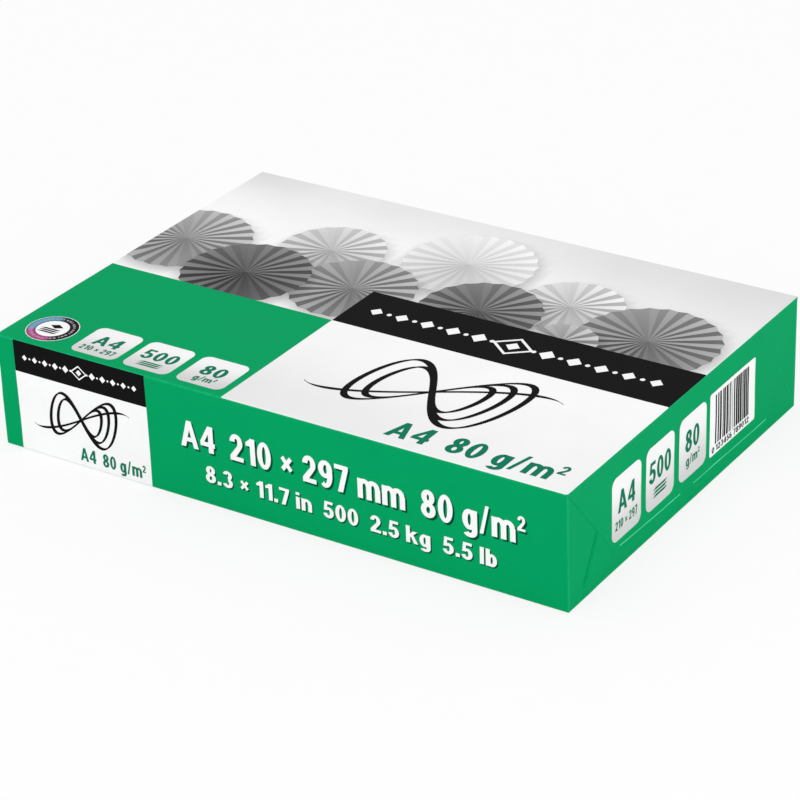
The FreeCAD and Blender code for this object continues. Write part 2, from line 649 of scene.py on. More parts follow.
# The range of brightness that the clouds give, and what the fibres add to it
CLOUD_SHADES = (0.97, 1.015)
FIBRE_SHADES = (-0.018, 0.018)

# How much of the print turns into the folds' paler colour, part wear and part painted highlight, and the part
# of the flecks' pattern that decides it
WEAR_AND_HIGHLIGHT_SHARES = (0.15, 0.9)
FLECKS_LOW = 0.32
FLECKS_HIGH = 0.60

# How much smoother and rougher the clouds make the paper, and how much of a mirror it is
SMOOTHER = 0.04
ROUGHER = 0.06
SHEEN = 0.008

# The relief of the paper: the heights of its ripples and fibres, how strongly it shows, and how deep it is
RIPPLE_HEIGHT = 0.35
FIBRE_HEIGHT = 0.06
RELIEF_STRENGTH = 0.35
RELIEF_DEPTH = 0.4 * MM

# The brightest grey of print, and how brightness turns into colour
PAPER_WHITE = 0.96
GAMMA = 2.2


class Nodes:
    """A short way to build a material from nodes."""

    def __init__(self, name):
        self.material = bpy.data.materials.new(name)
        self.material.use_nodes = True
        self.tree = self.material.node_tree
        self.shader = next(node for node in self.tree.nodes if node.type == "BSDF_PRINCIPLED")

    def add(self, kind, inputs=(), **settings):
        node = self.tree.nodes.new(kind)
        for name, value in settings.items():
            setattr(node, name, value)
        for name, value in dict(inputs).items():
            self.set(node.inputs[name], value)
        return node

    def set(self, socket, value):
        if isinstance(value, bpy.types.NodeSocket):
            self.tree.links.new(value, socket)
        else:
            socket.default_value = value

    def calculate(self, kind, first, second):
        """One step of arithmetic on two numbers or sockets."""
        return self.add("ShaderNodeMath", {0: first, 1: second}, operation=kind).outputs[0]

    def pattern(self, scale, detail, roughness=0.55):
        """Noise that is fixed to the piece."""
        place = self.add("ShaderNodeTexCoord").outputs["Object"]
        inputs = {"Vector": place, "Scale": scale, "Detail": detail, "Roughness": roughness}
        return self.add("ShaderNodeTexNoise", inputs).outputs["Fac"]

    def remap(self, value, new_low, new_high, low=NOISE_LOW, high=NOISE_HIGH):
        """Turns one range of numbers into another."""
        inputs = {"Value": value, "From Min": low, "From Max": high, "To Min": new_low, "To Max": new_high}
        return self.add("ShaderNodeMapRange", inputs).outputs["Result"]

    def grey(self, level):
        return self.add("ShaderNodeCombineColor", {0: level, 1: level, 2: level}).outputs[0]

    def mix(self, factor, first, second, blend="MIX"):
        node = self.add("ShaderNodeMix", data_type="RGBA", blend_type=blend)
        self.set(node.inputs[0], factor)
        self.set(node.inputs[6], first)
        self.set(node.inputs[7], second)
        return node.outputs[2]

    def painted(self, name):
        """What a mesh carries under this name."""
        return self.add("ShaderNodeAttribute", attribute_name=name)


def coated_paper(name, colour, roughness, rubbed_and_highlight=None):
    """Thin coated paper: cloudy, finely toothed, and paler on its folds, where wear and a painted highlight
    lie.
    The colour is a triple, or none for the colour that the print itself carries."""
    nodes = Nodes(name)
    base = (*colour, 1.0) if colour else nodes.painted("ink").outputs["Color"]
    clouds = nodes.pattern(CLOUDS, detail=3.0)
    fibres = nodes.pattern(FIBRES, detail=4.0, roughness=0.65)
    shade = nodes.calculate("ADD", nodes.remap(clouds, *CLOUD_SHADES), nodes.remap(fibres, *FIBRE_SHADES))
    tinted = nodes.mix(1.0, base, nodes.grey(shade), "MULTIPLY")
    # Paler flecks on the folds: partly wear, partly a painted highlight
    if rubbed_and_highlight:
        flecks = nodes.pattern(FLECKS, detail=5.0, roughness=0.7)
        wear_and_highlight_share = nodes.remap(flecks, *WEAR_AND_HIGHLIGHT_SHARES, low=FLECKS_LOW, high=FLECKS_HIGH)
        worn_and_highlighted = nodes.calculate("MULTIPLY", nodes.painted("fold").outputs["Fac"], wear_and_highlight_share)
        tinted = nodes.mix(worn_and_highlighted, tinted, (*rubbed_and_highlight, 1.0))
    nodes.set(nodes.shader.inputs["Base Color"], tinted)
    uneven = nodes.remap(clouds, roughness - SMOOTHER, roughness + ROUGHER)
    nodes.set(nodes.shader.inputs["Roughness"], uneven)
    nodes.shader.inputs["Specular IOR Level"].default_value = SHEEN
    ripples = nodes.calculate("MULTIPLY", nodes.pattern(RIPPLES, detail=4.0, roughness=0.5), RIPPLE_HEIGHT)
    relief = nodes.calculate("ADD", ripples, nodes.calculate("MULTIPLY", fibres, FIBRE_HEIGHT))
    inputs = {"Strength": RELIEF_STRENGTH, "Distance": RELIEF_DEPTH, "Height": relief}
    bump = nodes.add("ShaderNodeBump", inputs)
    nodes.set(nodes.shader.inputs["Normal"], bump.outputs[0])
    return nodes.material


def finish(name):
    """The material of this name, made when it is first asked for.
    Each recipe is a colour, a roughness and, for the wrapper, the colour of its folds' wear and painted
    highlight."""
    wrapper = wrapper_settings()
    prints = print_settings()
    recipes = {
        "green_paper": (wrapper.green, 0.42, wrapper.rubbed_and_highlight),
        "white_paper": (wrapper.white, 0.45),
        "black_ink": (wrapper.black, 0.42),
        "shaded_ink": (None, 0.42),
        "white_ink": (wrapper.white, 0.48),
        "green_ink": (prints.numeral_green, 0.45),
        "shadow_ink": (prints.shadow_green, 0.45),
        "rim_ink": (prints.rim_grey, 0.45),
        # The flaps' cut edge: the paper's own edge with a painted highlight
        "cut_paper_and_highlight": (wrapper.cut, 0.6),
    }
    return bpy.data.materials.get(name) or coated_paper(name, *recipes[name])


def grey(value):
    """The colour of a grey that looks so bright, from 0 to 1."""
    level = PAPER_WHITE * min(max(value, 0.0), 1.0) ** GAMMA
    return (level, level, level)


# The wrapper

# A face belongs to an end where it is this near to it and faces outwards by at least this much
END_REACH = 3
FACING = 0.9

# How far past its tips the paper round a crease is cut
CREASE_MARGIN = 3

# The wrapper's shading breaks at folds that are sharper than this
SHARP_FOLD = math.radians(42)

# The white panel's faint grey: how dark it gets, where it starts from the back and how far it takes, and how
# much of it is gone at the right, and after how far
PANEL_GREY = 0.070
PANEL_GREY_START = 135
PANEL_GREY_REACH = 70
PANEL_GREY_GONE = 0.62
PANEL_GREY_WIDTH = 150


def field_of(centre, facing):
    """The field of print that a piece of the wrapper belongs to."""
    if facing.z > TURNED:
        u, v = TOP.print_place(centre)
        if u < PANEL_LEFT:
            return "picture" if v < BAND_BOTTOM else "green"
        if v < BAND_TOP:
            return "picture"
        return "band" if v < BAND_BOTTOM else "panel"
    if facing.y < -TURNED:
        u, v = FRONT.print_place(centre)
        if LABEL_LEFT < u < LABEL_RIGHT:
            return "label_band" if v < LABEL_BAND_BOTTOM else "label"
    return "green"


def on_an_end(face):
    near = HALF.x - abs(face.calc_center_median().x) < END_REACH * MM
    return near and abs(face.normal.x) > FACING


def cut_wrapper():
    """The ream's own surface, cut along the borders of its print and finely enough to bend."""
    settings = wrapper_settings()
    mesh = bmesh.new()
    mesh.from_mesh(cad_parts["wrapped_ream"].data)
    bmesh.ops.remove_doubles(mesh, verts=mesh.verts[:], dist=SAME_POINT)
    bmesh.ops.dissolve_limit(
        mesh, angle_limit=FLAT_TURN, verts=mesh.verts[:], edges=mesh.edges[:], delimit={"NORMAL"})
    borders = [
        [TOP.taut(PANEL_LEFT, 0).x, FRONT.taut(LABEL_LEFT, 0).x, FRONT.taut(LABEL_RIGHT, 0).x],
        [TOP.taut(0, BAND_TOP).y, TOP.taut(0, BAND_BOTTOM).y],
        [FRONT.taut(0, LABEL_BAND_BOTTOM).z],
    ]
    clear = settings.grid / 4
    for axis in range(3):
        grid = steps(LOW[axis], HIGH[axis], settings.grid)
        apart = [place for place in grid if all(abs(place - border) > clear for border in borders[axis])]
        cut_across(mesh, mesh.faces[:], axis, sorted(apart + borders[axis]))
    ends = [face for face in mesh.faces if on_an_end(face)]
    for axis in (1, 2):
        ends = cut_across(mesh, ends, axis, steps(LOW[axis], HIGH[axis], settings.end_grid))
    cut_creases(mesh, ends)
    return mesh


def cut_creases(mesh, ends):
    """Cuts the right end along its creases and beside them, so that they can be pressed in."""
    for start_u, start_v, finish_u, finish_v, _, half in CREASES:
        start = RIGHT_END.taut(start_u, start_v)
        finish_point = RIGHT_END.taut(finish_u, finish_v)
        centre = (start + finish_point) / 2
        across = (finish_point - start).cross(RIGHT_END.out).normalized()
        reach = (finish_point - start).length / 2 + CREASE_MARGIN * MM
        facing = [face for face in ends if face.is_valid and face.normal.x > FACING]
        near = [face for face in facing if (face.calc_center_median() - centre).length < reach]
        for off in (-half, 0, half):
            near = cut_through(mesh, near, start + across * off * MM, across)
        ends = list({face for face in ends if face.is_valid} | set(near))


def split_by_field(mesh):
    """One mesh for each field of print, all cut from the same wrapper."""
    mesh.faces.index_update()
    fields = {}
    for face in mesh.faces:
        fields.setdefault(field_of(face.calc_center_median(), face.normal), set()).add(face.index)
    parts = {}
    for field, kept in fields.items():
        part = mesh.copy()
        others = [face for face in part.faces if face.index not in kept]
        bmesh.ops.delete(part, geom=others, context="FACES")
        parts[field] = part
    return parts


def paint(mesh, name, shade):
    """Gives each corner of a taut mesh the colour that it has at its point."""
    layer = mesh.loops.layers.float_color.new(name)
    for face in mesh.faces:
        for loop in face.loops:
            loop[layer] = (*shade(loop.vert.co), 1.0)


def panel_shade(point):
    """The white panel turns faintly grey towards its near left corner."""
    u, v = TOP.print_place(point)
    nearer = smooth((v - PANEL_GREY_START) / PANEL_GREY_REACH)
    righter = smooth((u - PANEL_LEFT) / PANEL_GREY_WIDTH)
    return grey(1.0 - PANEL_GREY * nearer * (1 - PANEL_GREY_GONE * righter))


class REAM_OT_wrapper(bpy.types.Operator):
    """Builds the sealed wrapper with its folded ends, in one piece for each field of print"""

    bl_idname = "ream.wrapper"
    bl_label = "Wrapper"

    def execute(self, context):
        fields = {
            "green": ("green_paper", "wrapper_green", None),
            "panel": ("shaded_ink", "wrapper_white", panel_shade),
            "label": ("white_paper", "wrapper_white", None),
            "band": ("black_ink", "print_black", None),
            "label_band": ("black_ink", "print_black", None),
            "picture": ("shaded_ink", "print_grey", backdrop_shade),
        }
        whole = cut_wrapper()
        parts = split_by_field(whole)
        whole.free()
        for field, mesh in parts.items():
            look, slot, shade = fields[field]
            if shade:
                paint(mesh, "ink", shade)
            # The folds' mask, for their wear and painted highlight
            paint(mesh, "fold", lambda point: [fold_wear_and_highlight(point)] * 3)
            for vert in mesh.verts:
                vert.co = pulled_in(vert.co)
            piece = new_piece("wrapper_" + field, mesh, look)
            piece.data.set_sharp_from_angle(angle=SHARP_FOLD)
            piece.modifiers.new("Even shading", "WEIGHTED_NORMAL").keep_sharp = True
            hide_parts("wrapped_ream")
        return {"FINISHED"}


# The picture on the top

# Round fans of pleated paper on a pale ground, the lowest first, each (u, v, radius, brightness, contrast)
FANS = (
    (150, 44, 33, 0.87, 0.05),
    (84, 62, 27, 0.76, 0.11),
    (214, 60, 26, 0.79, 0.12),
    (116, 92, 31, 0.56, 0.14),
    (14, 84, 33, 0.60, 0.14),
    (262, 74, 34, 0.52, 0.14),
    (180, 84, 30, 0.42, 0.12),
    (62, 102, 32, 0.38, 0.12),
    (228, 92, 17, 0.62, 0.14),
)

# How far each fan lies above the one before, how far out a valley reaches for a ridge of 1, and how far apart
# the rings of its mesh are
FAN_STEP = 0.011
VALLEY_REACH = 0.965
FAN_RING = 6

# Where the picture's light comes from, how much lighter a fan's rim is than its hub, and how much darker its
# near half is than its middle
LIGHT_TURN = math.radians(235)
RIM_LIGHTER = 0.10
NEAR_DARKER = 0.05

# The picture's ground is greyer along its back, at its right and in its back left corner. For each: how much
# greyer, and how far from the left or the back that starts or reaches.
BACK_GREY = 0.060
BACK_GREY_DOWN = 50
RIGHT_GREY = 0.050
RIGHT_GREY_START = 110
RIGHT_GREY_WIDTH = 180
RIGHT_GREY_DOWN = 45
RIGHT_GREY_FADE = 50
CORNER_GREY = 0.05
CORNER_GREY_WIDTH = 50
CORNER_GREY_DOWN = 30

# A fan's shadow: how far it is moved to the right and down, how far it spreads and fades, and how dark it is
SHADOW_RIGHT = 2.5
SHADOW_DOWN = 4.0
SHADOW_SPREAD = 6.0
SHADOW_FADE = 13.0
SHADOW_DARK = 0.26


def fan_shadow(u, v, fans):
    """How much light is left at a place under the fans that lie above it."""
    light = 1.0
    for fan_u, fan_v, radius, _, _ in fans:
        distance = math.hypot(u - fan_u - SHADOW_RIGHT, v - fan_v - SHADOW_DOWN)
        light *= 1.0 - SHADOW_DARK * smooth((radius + SHADOW_SPREAD - distance) / SHADOW_FADE)
    return light


def backdrop_shade(point):
    """The picture's ground: pale in the middle, and greyer at the back, at the right and under the fans."""
    u, v = TOP.print_place(point)
    along_back = BACK_GREY * (1 - smooth(v / BACK_GREY_DOWN))
    at_right = RIGHT_GREY * smooth((u - RIGHT_GREY_START) / RIGHT_GREY_WIDTH)
    at_right *= 1 - smooth((v - RIGHT_GREY_DOWN) / RIGHT_GREY_FADE)
    in_corner = CORNER_GREY * (1 - smooth(u / CORNER_GREY_WIDTH)) * (1 - smooth(v / CORNER_GREY_DOWN))
    return grey((1.0 - along_back - at_right - in_corner) * fan_shadow(u, v, FANS))


def in_picture(place):
    bottom = BAND_BOTTOM if place.x < PANEL_LEFT else BAND_TOP
    return 0 < place.x < LENGTH and 0 < -place.y < bottom


def fan_mesh(u, v, radius, pleats):
    """A flat disc of pleats: every other spoke is a ridge, which reaches out a little further."""
    flat = bmesh.new()
    hub = flat.verts.new((u, -v, 0))
    rings = max(3, round(radius / FAN_RING))
    spokes = []
    for index in range(2 * pleats):
        turn = math.pi * index / pleats
        reach = radius if index % 2 else radius * VALLEY_REACH
        spoke = []
        for step in range(rings):
            out = (step + 1) / rings * reach
            spoke.append(flat.verts.new((u + out * math.cos(turn), -v - out * math.sin(turn), 0)))
        spokes.append(spoke)
    for index, spoke in enumerate(spokes):
        after = spokes[(index + 1) % len(spokes)]
        face_up(flat.faces.new((hub, spoke[0], after[0])))
        for k in range(rings - 1):
            face_up(flat.faces.new((spoke[k], spoke[k + 1], after[k + 1], after[k])))
    return flat


def clip_to_picture(flat):
    """Cuts off what lies outside the picture."""
    cut_across(flat, flat.faces[:], 0, [0, PANEL_LEFT, LENGTH])
    cut_across(flat, flat.faces[:], 1, [-BAND_BOTTOM, -BAND_TOP, 0])
    outside = [face for face in flat.faces if not in_picture(face.calc_center_median())]
    bmesh.ops.delete(flat, geom=outside, context="FACES")


def print_fan(order):
    """Prints one fan of the picture, pleat by pleat, in the shadow of the ones above it."""
    u, v, radius, level, contrast = FANS[order]
    pleats = max(12, round(math.pi * radius * MM / print_settings().pleat))
    flat = fan_mesh(u, v, radius, pleats)
    clip_to_picture(flat)
    ink = flat.loops.layers.float_color.new("ink")
    above = FANS[order + 1:]
    for face in flat.faces:
        centre = face.calc_center_median()
        turn = math.atan2(-centre.y - v, centre.x - u) % (2 * math.pi)
        leaning = 1 if int(turn / (math.pi / pleats)) % 2 else -1
        lit = contrast * leaning * math.sin(turn - LIGHT_TURN) - NEAR_DARKER * math.sin(turn)
        for loop in face.loops:
            place_u, place_v = loop.vert.co.x, -loop.vert.co.y
            out = math.hypot(place_u - u, place_v - v) / radius
            value = level + lit + RIM_LIGHTER * (out - 0.5)
            loop[ink] = (*grey(value * fan_shadow(place_u, place_v, above)), 1.0)
    for vert in flat.verts:
        vert.co = TOP.place(vert.co.x, -vert.co.y, PLATE_LIFT + FAN_STEP * order)
    new_piece("picture_fan_{}".format(order + 1), flat, "shaded_ink")


# Ornaments

# The broad nib: the angle at which its edge is held, its thinnest line for a nib of 1, over what share of a
# line's length its tips taper, and how wide they start
NIB_ANGLE = math.radians(-38)
NIB_THIN = 0.34
NIB_TAPER = 0.05
NIB_TIP = 0.1

# The flourish, in shares of its width and height: its loops, and the share by which the last is smaller; its
# tails, how far they run out and drop, and how much of that they lose by bending back; and its slant
LOOP_TURNS = 2.5
LOOP_POINTS = 260
LOOP_HALF_WIDTH = 0.36
LOOP_HALF_HEIGHT = 0.46
LOOP_SHRINK = 0.5
TAIL_POINTS = 40
TAIL_RUN = 0.56
TAIL_RUN_LOST = 0.1
TAIL_DROP = 0.72
TAIL_DROP_LOST = 0.42
SLANT = 0.22


def nib_stroke(points, nib):
    """A line drawn with a broad nib, as a row of four-sided outlines."""
    count = len(points)
    thin = nib * NIB_THIN
    sides = []
    for index, (u, v) in enumerate(points):
        before = points[max(index - 1, 0)]
        after = points[min(index + 1, count - 1)]
        way = math.atan2(after[1] - before[1], after[0] - before[0])
        taper = max(smooth(min(index, count - 1 - index) / (count * NIB_TAPER)), NIB_TIP)
        half = (thin + (nib - thin) * abs(math.sin(way - NIB_ANGLE))) / 2 * taper
        off_u, off_v = math.sin(way) * half, math.cos(way) * half
        sides.append(((u - off_u, v + off_v), (u + off_u, v - off_v)))
    return [[first[0], second[0], second[1], first[1]] for first, second in zip(sides, sides[1:])]


def flourish(u, v, width, height, nib):
    """A pen flourish: lying loops one in another, with a long tail at the lower left and the upper right."""
    loops = []
    for index in range(LOOP_POINTS + 1):
        turn = 2 * math.pi * LOOP_TURNS * index / LOOP_POINTS
        shrink = 1 - LOOP_SHRINK * index / LOOP_POINTS
        across = LOOP_HALF_WIDTH * width * shrink * math.sin(turn)
        up = LOOP_HALF_HEIGHT * height * shrink * math.sin(2 * turn)
        loops.append((u + across, v - up))
    tail = []
    for index in range(TAIL_POINTS, 0, -1):
        away = index / TAIL_POINTS
        across = width * (TAIL_RUN * away - TAIL_RUN_LOST * away ** 3)
        down = height * (TAIL_DROP * away - TAIL_DROP_LOST * away ** 2.5)
        tail.append((u - across, v + down))
    lead = [(2 * u - place_u, 2 * v - place_v) for place_u, place_v in reversed(tail)]
    slanted = [(place_u - SLANT * (place_v - v), place_v) for place_u, place_v in tail + loops + lead]
    return nib_stroke(slanted, nib)


# A sheet of a pile leans by one part in so many of its width. It is one part in so many of the pile's height
# thick, and lies one part in so many of it above the last.
SHEETS = 3
SHEET_LEAN = 5
SHEET_THICK = 4
SHEET_STEP = 2.6


def sheet_pile(u, low, width, height):
    """Sheets over each other, seen at a slant."""
    left, right = u - width / 2, u + width / 2
    lean, thick = width / SHEET_LEAN, height / SHEET_THICK
    outlines = []
    for row in range(SHEETS):
        v = low - height * row / SHEET_STEP
        outlines.append([(left, v), (left + lean, v - thick), (right, v - thick), (right - lean, v)])
    return outlines


# The band's ornament, in shares of its height: the filled lozenge in the middle, the width of the open one
# and how much of it is open, where the row beside it starts, the size of the row's first lozenge, how much
# smaller each next one is, how narrow they are, how far the row goes on past its last step, and the dots
FILLED_LOZENGE = 0.42
OPEN_LOZENGE = 1.25
OPEN_INSIDE = 0.8
ROW_START = 2.05
ROW_LOZENGE = 0.50
ROW_SHRINK = 0.05
ROW_NARROW = 0.95
ROW_END = 0.4
DOT = 0.14


def band_ornament(u, v, width, height, lozenges=5):
    """A row of lozenges with dots between them, and an open lozenge with another in it in the middle."""
    outlines = [lozenge(u, v, FILLED_LOZENGE * height, FILLED_LOZENGE * height)]
    outer = lozenge(u, v, OPEN_LOZENGE * height, height)
    inner = lozenge(u, v, OPEN_INSIDE * OPEN_LOZENGE * height, OPEN_INSIDE * height)
    outlines += [[outer[k], outer[(k + 1) % 4], inner[(k + 1) % 4], inner[k]] for k in range(4)]
    first = ROW_START * height
    pitch = (width / 2 - first) / (lozenges - 1 + ROW_END)
    for turn in (-1, 1):
        for step in range(lozenges):
            size = ROW_LOZENGE * height * (1 - ROW_SHRINK * step)
            place = u + turn * (first + pitch * step)
            outlines.append(lozenge(place, v, ROW_NARROW * size, size))
            outlines.append(circle(place - turn * pitch / 2, v, DOT * height, count=16))
    return outlines


# The badges: small rounded labels with a large number and a small line under it

BADGE_WIDTH = 25.2
BADGE_CORNER = 4.0

# The top of a badge stays at its lightest, for this share of the length over which it then turns greyer
BADGE_LIGHT_SHARE = 0.2

# Each badge is its name, its left edge, its number (words, left, right), and its small line (words, left,
# right, baseline, height), which is a pile of sheets where it has no words
TOP_BADGES = (
    ("size", 38.4, ("A4", 43.8, 58.2), ("210 × 297", 41.4, 60.6, 203.4, 4.2)),
    ("count", 67.6, ("500", 70.8, 89.6), ("", 73.5, 87.0, 203.4, 4.0)),
    ("weight", 97.2, ("80", 103.4, 116.2), ("g/m²", 104.4, 116.0, 203.0, 4.6)),
)
END_BADGES = (
    ("size", 37.4, ("A4", 42.4, 57.4), ("210 × 297", 40.2, 59.4, 38.2, 4.4)),
    ("count", 67.0, ("500", 69.7, 89.2), ("", 73.0, 86.2, 38.4, 4.6)),
    ("weight", 96.8, ("80", 102.4, 115.4), ("g/m²", 103.0, 115.8, 37.6, 4.9)),
)


def badge_plate(side, name, left, top, height):
    """The badge itself, which turns greyer downwards."""
    prints = print_settings()

    def shade(u, v):
        down = (v - top) / height * (1 + BADGE_LIGHT_SHARE) - BADGE_LIGHT_SHARE
        return grey(prints.badge_light - (prints.badge_light - prints.badge_dark) * smooth(down))

    plate = rounded_rectangle(left, top, BADGE_WIDTH, height, BADGE_CORNER)
    lay_on(side, [plate], name, "shaded_ink", PLATE_LIFT, shade)


def print_badges(side, prefix, badges, top, height, baseline, number_height):
    """Prints a row of badges, whose names begin with the prefix."""
    for badge, left, number, (words, line_left, line_right, line_low, line_height) in badges:
        name = prefix + "_badge_" + badge
        badge_plate(side, name, left, top, height)
        large = letters(*number, baseline, number_height)
        lay_on(side, large, name + "_number", "green_ink")
        if words:
            line = letters(words, line_left, line_right, line_low, line_height)
        else:
            middle = (line_left + line_right) / 2
            line = sheet_pile(middle, line_low, line_right - line_left, line_height)
        lay_on(side, line, name + "_line", "green_ink")


# The round mark: a dark rim with two tinted stretches and pale ticks, and a pile of sheets on a pale ground

# How far in from its edge the rim starts and ends, the rings that it is made of, and how soft its edges are
RIM_OUTSIDE = 0.32
RIM_INSIDE = 4.6
RIM_RINGS = 5
RIM_SOFT = 0.22

RIM_DARK = (0.012, 0.014, 0.018)
RIM_BLUE = (0.12, 0.36, 0.56)
RIM_PINK = (0.52, 0.08, 0.28)

# Where each tint starts and how it fades in, and where it ends and how it fades out, in degrees
BLUE_STRETCH = (146, 12, 272, 24)
PINK_STRETCH = (52, 24, 158, 12)

# The ticks: their number, how far in they lie, and how much of the way to the next one they take
TICKS = 33
TICK_OUTSIDE = 2.0
TICK_INSIDE = 3.2
TICK_LONG = 0.68
TICK_SHORT = 0.36


def within(turn, start, fade_in, end, fade_out):
    """1 within a stretch of the rim, fading at its two ends."""
    return smooth((turn - start) / fade_in) * smooth((end - turn) / fade_out)


def rim_ticks(u, v, outer, inner):
    """Short pale dashes of two lengths along a rim, as on a dial."""
    pitch = 360 / TICKS
    outlines = []
    for tick in range(TICKS):
        length = TICK_LONG if tick % 3 else TICK_SHORT
        outlines += ring_part(u, v, outer, inner, pitch * tick, pitch * (tick + length))
    return outlines


def round_mark(u, v, radius):
    """The round mark, in four pieces."""
    outside = radius - RIM_OUTSIDE
    rim_width = RIM_INSIDE - RIM_OUTSIDE
    lay_on(TOP, [circle(u, v, radius)], "round_badge", "white_ink", PLATE_LIFT)

    def shade(place_u, place_v):
        turn = math.degrees(math.atan2(place_v - v, place_u - u)) % 360
        share = (outside - math.hypot(place_u - u, place_v - v)) / rim_width
        bright = smooth(min(share, 1 - share) / RIM_SOFT)
        blue = bright * within(turn, *BLUE_STRETCH)
        pink = bright * within(turn, *PINK_STRETCH)
        tints = zip(RIM_DARK, RIM_BLUE, RIM_PINK)
        return [dark + blue * (cold - dark) + pink * (warm - dark) for dark, cold, warm in tints]

    edges = [outside - rim_width * step / RIM_RINGS for step in range(RIM_RINGS + 1)]
    rim = [quad for outer, inner in zip(edges, edges[1:]) for quad in ring(u, v, outer, inner)]
    lay_on(TOP, rim, "round_badge_rim", "shaded_ink", UNDER_LIFT, shade)
    ticks = rim_ticks(u, v, radius - TICK_OUTSIDE, radius - TICK_INSIDE)
    lay_on(TOP, ticks, "round_badge_ticks", "rim_ink")
    sheets = sheet_pile(u - 0.4, v + 4.4, width=11.0, height=4.2)
    sheets.insert(0, lozenge(u + 0.6, v - 2.6, half_width=3.6, half_height=2.0))
    lay_on(TOP, sheets, "round_badge_sheets", "black_ink")


class REAM_OT_top_print(bpy.types.Operator):
    """Prints the top: the picture of paper fans, the band's ornament, the pen flourish and the badges"""

    bl_idname = "ream.top_print"
    bl_label = "Print on the top"

    def execute(self, context):
        for order in range(len(FANS)):
            print_fan(order)
        lay_on(TOP, band_ornament(u=212.0, v=107.6, width=156.0, height=8.6),
               "band_ornament", "white_ink")
        lay_on(TOP, flourish(u=204.0, v=162.0, width=112.0, height=58.0, nib=3.3),
               "panel_flourish", "black_ink")
        lay_on(TOP, letters("A4  80 g/m²", left=206.0, right=291.0, baseline=204.4, height=13.4),
               "panel_size", "green_ink")
        print_badges(TOP, "top", TOP_BADGES, top=181.4, height=25.2, baseline=197.2, number_height=8.6)
        round_mark(u=19.5, v=194.0, radius=12.5)
        return {"FINISHED"}


# How far the shadow of the front's lettering is moved, as a share of its height
LETTER_SHADOW = 0.07


def shaded_line(name, words, left, right, baseline, height):
    """White lettering on the front with a dark shadow at its lower right."""
    shadow = letters(words, left, right, baseline, height, sink=height * LETTER_SHADOW)
    lay_on(FRONT, shadow, name + "_shadow", "shadow_ink", UNDER_LIFT)
    lay_on(FRONT, letters(words, left, right, baseline, height), name, "white_ink")


class REAM_OT_front_print(bpy.types.Operator):
    """Prints the long front side: the label at its left and two lines of large lettering"""

    bl_idname = "ream.front_print"
    bl_label = "Print on the front"

    def execute(self, context):
        centre = (LABEL_LEFT + LABEL_RIGHT) / 2
        lay_on(FRONT, band_ornament(u=centre, v=8.2, width=67.0, height=3.7),
               "label_ornament", "white_ink")
        lay_on(FRONT, flourish(u=centre - 1.0, v=32.5, width=57.0, height=28.0, nib=2.0),
               "label_flourish", "black_ink")
        lay_on(FRONT, letters("A4  80 g/m²", left=43.8, right=81.2, baseline=53.4, height=6.6),
               "label_size", "green_ink")
        shaded_line("front_line_large", "A4  210 × 297 mm  80 g/m²",
                    left=102.5, right=279.5, baseline=30.0, height=13.2)
        shaded_line("front_line_small", "8.3 × 11.7 in  500  2.5 kg  5.5 lb",
                    left=115.0, right=265.5, baseline=45.0, height=8.2)
        return {"FINISHED"}


# The bars are as wide as so many modules, and each bar and each gap is one of these widths
BAR_MODULES = 84
BAR_WIDTHS = (1, 2, 2, 3, 4)
GAP_WIDTHS = (1, 1, 1, 2, 3)
BAR_SEED = 11


def upright_bars(left, top, width, height):
    """Dark upright bars of uneven widths with narrow gaps between them, which mean nothing."""
    chance = random.Random(BAR_SEED)
    outlines = []
    place = 0
    while place < BAR_MODULES:
        thick = min(chance.choice(BAR_WIDTHS), BAR_MODULES - place)
        start = left + width * place / BAR_MODULES
        end = left + width * (place + thick) / BAR_MODULES
        outlines.append([(start, top), (end, top), (end, top + height), (start, top + height)])
        place += thick + chance.choice(GAP_WIDTHS)
    return outlines


# The pale cut edge of the top flap, partly the paper's own edge and partly a painted highlight: where it
# can't be seen, as shares of its length (by the seam the flap lies flat and gets no painted highlight), the
# pieces that it is made of, how far it stays above the flap's corner, its least and its added thickness, and
# over what length, in metres, that wanders
UNLIT_STRETCHES = ((0.0, 0.02), (0.41, 0.50))
EDGE_PIECES = 60
EDGE_MARGIN = 0.04
EDGE_THIN = 0.30
EDGE_ADDED = 0.35
EDGE_WANDER = 0.09


def cut_edge_and_highlight(side):
    """A thin strip along the low edge of the top flap: its pale cut edge and a painted highlight, left out
    where it passes the seam.
    """
    low_front, low_back = HEIGHT - FLAP_GAP_FRONT, HEIGHT - FLAP_GAP_BACK
    tips = [(FLAP_SLOPE_FRONT * low_front, low_front), (WIDTH - FLAP_SLOPE_BACK * low_back, low_back)]
    if side is LEFT_END:
        tips = [(WIDTH - u, v) for u, v in reversed(tips)]
    (start_u, start_v), (finish_u, finish_v) = tips

    def place(share, over):
        bowed = start_v + (finish_v - start_v) * share + 4 * FLAP_EDGE_BOW * share * (1 - share)
        return start_u + (finish_u - start_u) * share, bowed - EDGE_MARGIN - over

    outlines = []
    for step in range(EDGE_PIECES):
        first, last = step / EDGE_PIECES, (step + 1) / EDGE_PIECES
        if any(start <= first < end for start, end in UNLIT_STRETCHES):
            continue
        wander = unevenness(Vector((first * EDGE_WANDER, 0, 0)), wavelength=9, seed=5)
        thick = EDGE_THIN + EDGE_ADDED * wander
        outlines.append([place(first, 0), place(last, 0), place(last, thick), place(first, thick)])
    return outlines


